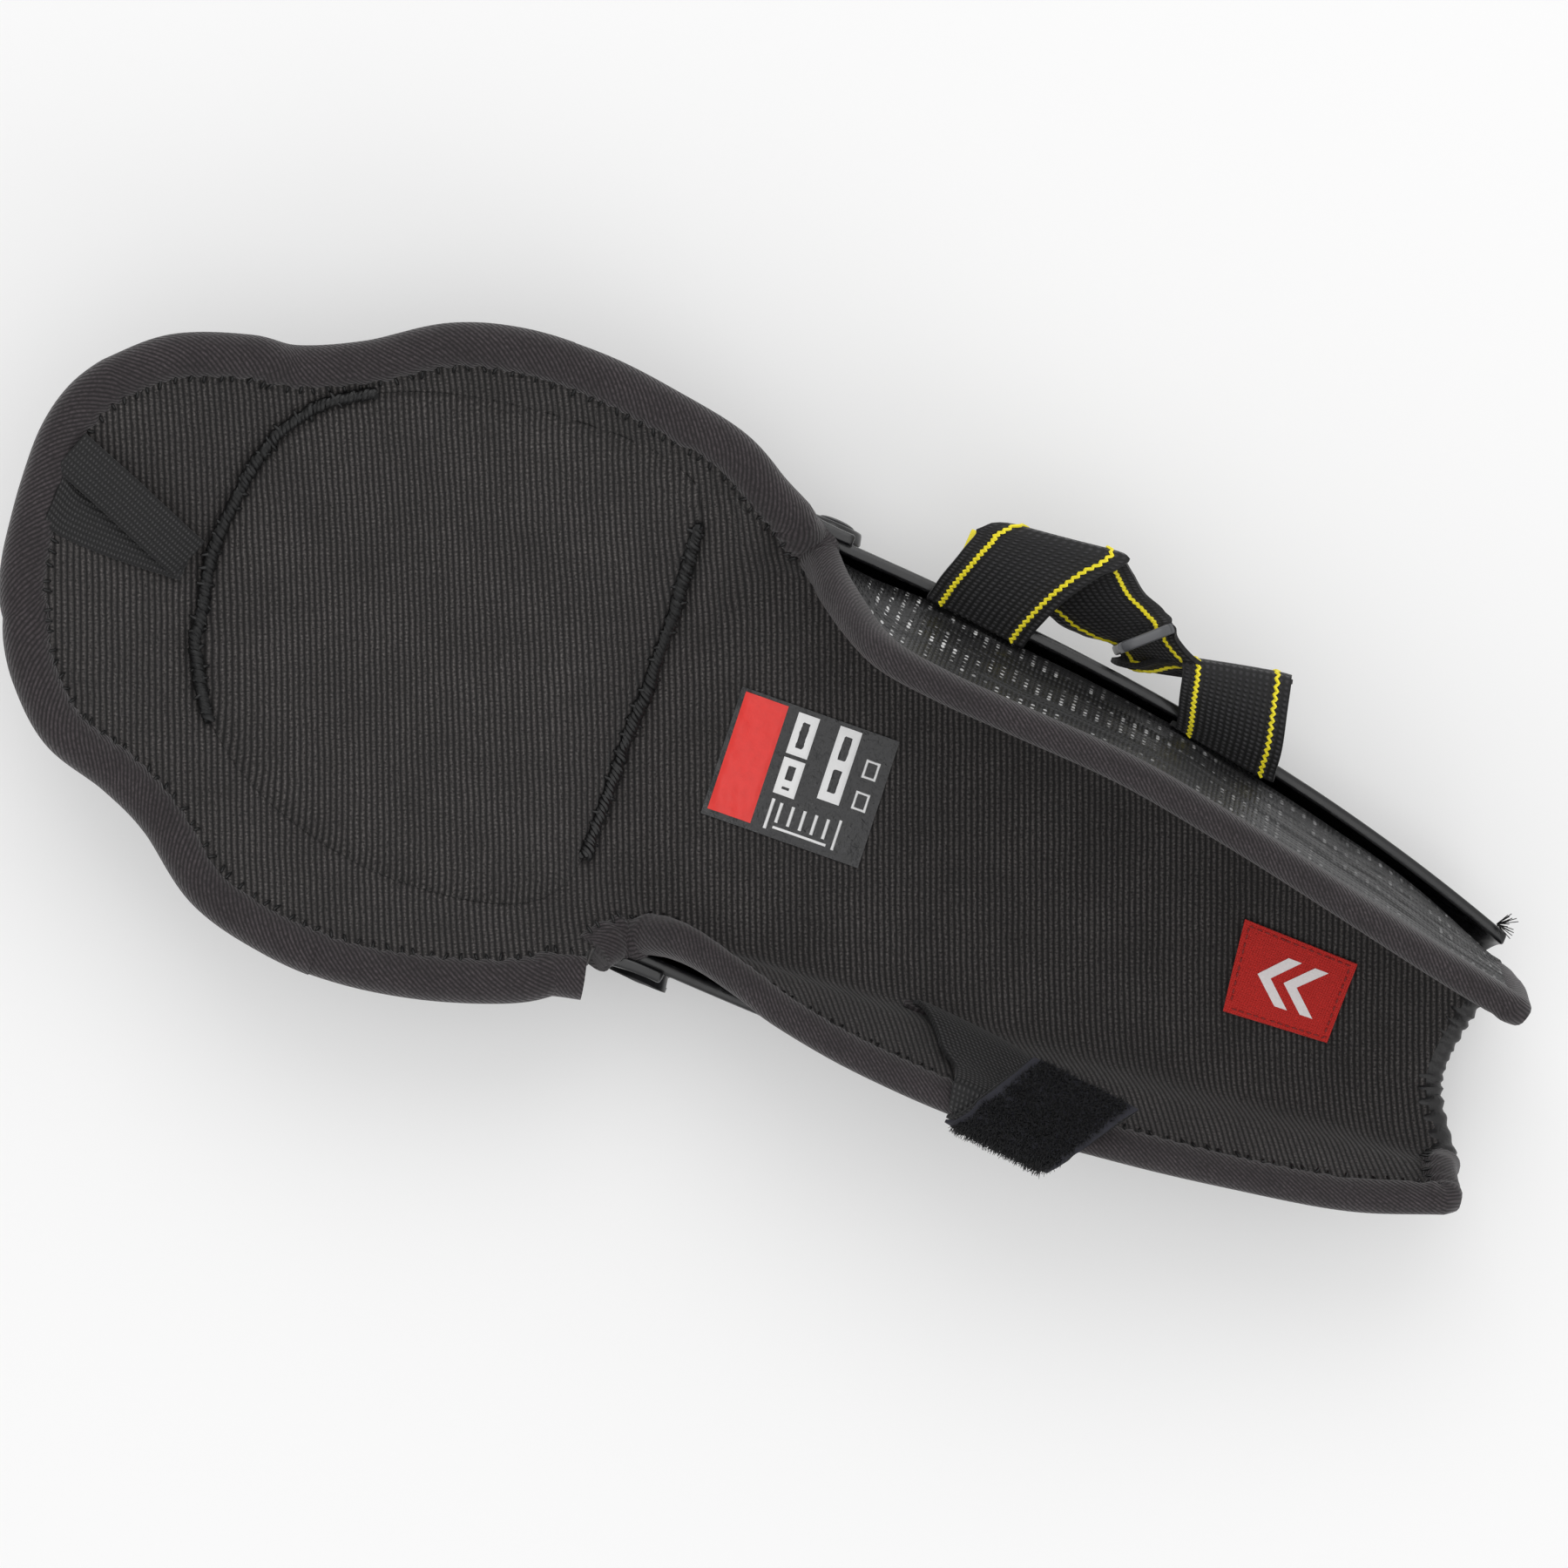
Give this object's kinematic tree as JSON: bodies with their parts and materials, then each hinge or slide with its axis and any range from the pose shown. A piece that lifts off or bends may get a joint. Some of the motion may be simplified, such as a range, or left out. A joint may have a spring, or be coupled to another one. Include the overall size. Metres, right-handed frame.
{
  "type": "ice hockey shin guard",
  "caption": "Ice hockey shin guard with moulded shin and knee plates, padded lining, folding calf wings, thigh flap and elastic strap.",
  "frame": {"origin": "centre of the flat face on the front of the knee cap, on which the guard lies", "axes": "+X from the thigh towards the ankle, +Y across the leg to the side of the elastic strap, +Z from the front plates towards the calf"},
  "size_m": [0.3869, 0.1701, 0.0809],
  "materials": {
    "shell": "glossy black moulded plastic",
    "rivet": "satin nickel",
    "foam": "closed-cell foam",
    "lining": "ribbed charcoal knit",
    "binding": "fine knit tape",
    "cover": "black mesh cloth",
    "stiffener": "sheet plastic",
    "webbing": "coarse woven elastic with yellow stitching",
    "pile": "brushed loop pile",
    "ring": "grey moulded plastic",
    "accent": "yellow tape",
    "label": "printed heat-transfer film, red and white on black",
    "badge": "red woven patch"
  },
  "bodies": {
    "shin": {"shin_shell": "shell", "shin_rivets": "rivet", "knee_pivot_rivets": "rivet", "shin_foam": "foam", "shin_liner": "lining", "ankle_binding": "binding", "size_label": "label", "badge_patch": "badge", "strap_anchor": "webbing"},
    "knee": {"knee_cap": "shell", "knee_foam": "foam", "knee_cover": "cover", "knee_liner": "lining", "knee_pad": "lining", "knee_binding": "binding"},
    "thigh": {"thigh_cover": "cover", "thigh_plate": "stiffener", "thigh_liner": "lining", "thigh_binding": "binding"},
    "pull": {"pull_loop": "webbing"},
    "left_wing": {"left_wing_cover": "cover", "left_wing_plate": "stiffener", "left_wing_liner": "lining", "left_wing_binding": "binding"},
    "right_wing": {"right_wing_cover": "cover", "right_wing_plate": "stiffener", "right_wing_liner": "lining", "right_wing_binding": "binding", "closure_base": "webbing"},
    "closure": {"closure_tab": "webbing", "closure_pile": "pile"},
    "strap": {"elastic_strap": "webbing", "strap_tab": "accent"},
    "ring": {"strap_ring": "ring"}
  },
  "joints": [
    {"name": "knee_flex", "type": "hinge", "parent": "shin", "child": "knee", "pos_m": [0.072, 0, 0.026], "axis": [0, 1, 0], "range_deg": [0, 15]},
    {"name": "thigh_flex", "type": "hinge", "parent": "knee", "child": "thigh", "pos_m": [-0.068, 0, 0.046], "axis": [0, 1, 0], "range_deg": [-20, 20]},
    {"name": "pull_flip", "type": "hinge", "parent": "thigh", "child": "pull", "pos_m": [-0.095, -0.007, 0.0565], "axis": [-0.2425, -0.9701, 0], "range_deg": [0, 60]},
    {"name": "left_wing_fold", "type": "hinge", "parent": "shin", "child": "left_wing", "pos_m": [0.08, 0.047, 0.028], "axis": [0.993, -0.1182, 0], "range_deg": [-8, 25]},
    {"name": "right_wing_fold", "type": "hinge", "parent": "shin", "child": "right_wing", "pos_m": [0.08, -0.047, 0.028], "axis": [0.993, 0.1182, 0], "range_deg": [-25, 5]},
    {"name": "strap_swing", "type": "hinge", "parent": "shin", "child": "strap", "pos_m": [0.112, 0.0515, 0.0373], "axis": [0.9972, -0.074, -0.0045], "range_deg": [-8, 25]},
    {"name": "ring_turn", "type": "hinge", "parent": "strap", "child": "ring", "pos_m": [0.1505, 0.0635, 0.039], "axis": [0, 0, 1], "range_deg": [-15, 15]},
    {"name": "closure_flip", "type": "hinge", "parent": "right_wing", "child": "closure", "pos_m": [0.1682, -0.0603, 0.0645], "axis": [1, 0, 0], "range_deg": [0, 90]}
  ]
}
